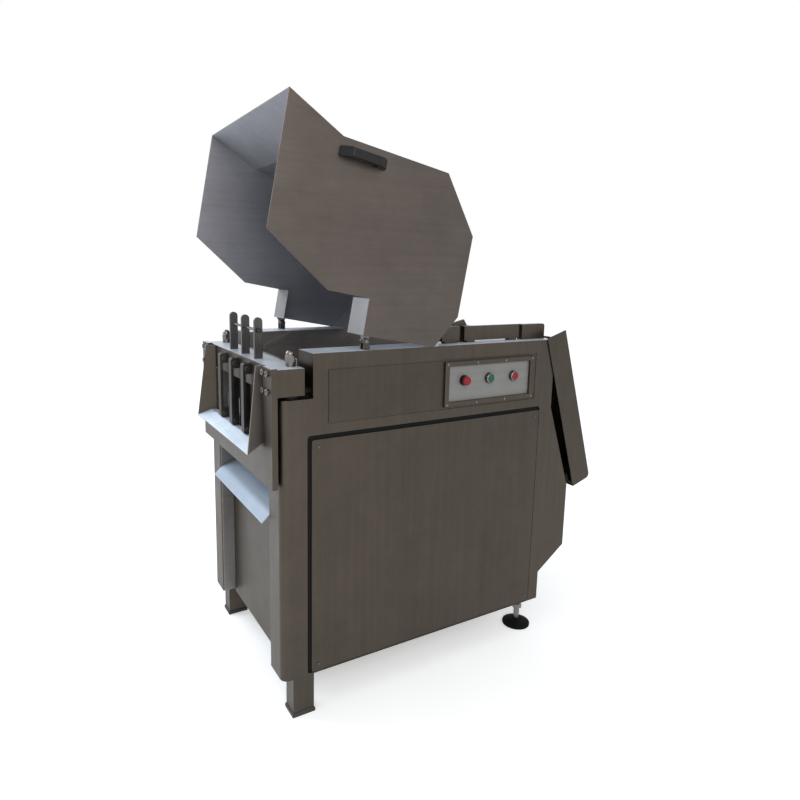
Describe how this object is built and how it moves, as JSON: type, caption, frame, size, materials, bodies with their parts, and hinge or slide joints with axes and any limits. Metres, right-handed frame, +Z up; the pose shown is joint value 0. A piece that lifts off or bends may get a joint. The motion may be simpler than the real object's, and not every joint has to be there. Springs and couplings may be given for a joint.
{
  "type": "frozen meat flaker",
  "caption": "Free-standing hydraulic guillotine that flakes frozen meat blocks, with slitting knives, scoop, swing-over hood, inclined chute and fold-up loading table.",
  "frame": {"origin": "on the floor, under the centre of the whole machine's box with the hood open, the table down and the crosshead lowered; it lies on the cabinet's middle plane", "axes": "+X runs from the knife end to the loading end, +Z is up, and the control panel is on the -Y side"},
  "size_m": [1.2146, 0.725, 1.6538],
  "materials": {
    "shell": "brushed",
    "panel": "brushed",
    "hood": "brushed",
    "frame": "mill",
    "bright": "polished",
    "blade": "ground",
    "dark_plastic": "matt",
    "black_plastic": "satin",
    "rubber": "matt",
    "face_plate": "satin",
    "green_button": "glossy",
    "red_button": "glossy",
    "painted": "satin",
    "painted_dark": "satin",
    "motor": "painted",
    "aluminium": "machined"
  },
  "bodies": {
    "cabinet": {"side_wall_near": "shell", "side_wall_far": "shell", "base_frame": "frame", "front_legs": "shell", "leg_caps": "dark_plastic", "foot_discs": "rubber", "foot_stems": "bright", "foot_bosses": "shell", "service_panel_near": "panel", "service_panel_far": "panel", "panel_seals": "rubber", "panel_screws": "bright", "upper_cover_near": "panel", "upper_cover_far": "panel", "control_frame": "shell", "control_plate": "face_plate", "control_screws": "bright", "switch_collars": "black_plastic", "switch_bezels": "bright", "contact_blocks": "black_plastic", "front_sheet": "panel", "discharge_chute": "panel", "chute_floor": "panel", "guide_strips": "panel", "counter_blade": "blade", "guide_rails": "shell", "rail_end_blocks": "shell", "rear_cover": "panel", "cylinders": "painted", "rod_glands": "black_plastic", "hinge_ears": "shell", "hinge_pins": "bright", "table_lugs": "shell", "table_pins": "bright", "table_buffers": "rubber", "oil_tank": "painted", "electric_motor": "motor", "hydraulic_pump": "painted_dark", "valve_block": "aluminium", "hydraulic_pipes": "bright"},
    "crosshead": {"crosshead_beam": "shell", "front_plate": "shell", "plate_bolts": "bright", "scoop": "panel", "knife_brackets": "shell", "bracket_bolts": "bright", "slitting_knives": "blade", "knife_tie_rod": "bright", "main_blade": "blade", "blade_screws": "bright", "piston_rods": "bright", "dome_nuts": "bright"},
    "hood": {"hood_sides": "hood", "hood_wrap": "hood", "hood_handles": "black_plastic"},
    "table": {"loading_table": "panel"},
    "start": {"start_button": "green_button"},
    "off": {"off_button": "red_button"},
    "emergency": {"emergency_button": "red_button"}
  },
  "joints": [
    {"name": "crosshead_lift", "type": "slide", "parent": "cabinet", "child": "crosshead", "axis": [0, 0, 1], "range_m": [0, 0.2]},
    {"name": "hood_hinge", "type": "hinge", "parent": "cabinet", "child": "hood", "pos_m": [-0.29133, 0, 1.0435], "axis": [0, -1, 0], "range_deg": [0, 100.5]},
    {"name": "table_hinge", "type": "hinge", "parent": "cabinet", "child": "table", "pos_m": [0.4469, 0, 1.00826], "axis": [0, -1, 0], "range_deg": [0, 72.5]},
    {"name": "start_press", "type": "slide", "parent": "cabinet", "child": "start", "axis": [0, 1, 0], "range_m": [0, 0.004], "stiffness_N_per_m": 700, "springref_m": -0.002},
    {"name": "off_press", "type": "slide", "parent": "cabinet", "child": "off", "axis": [0, 1, 0], "range_m": [0, 0.004], "stiffness_N_per_m": 700, "springref_m": -0.002},
    {"name": "emergency_press", "type": "slide", "parent": "cabinet", "child": "emergency", "axis": [0, 1, 0], "range_m": [0, 0.004], "stiffness_N_per_m": 1200, "springref_m": -0.002}
  ]
}
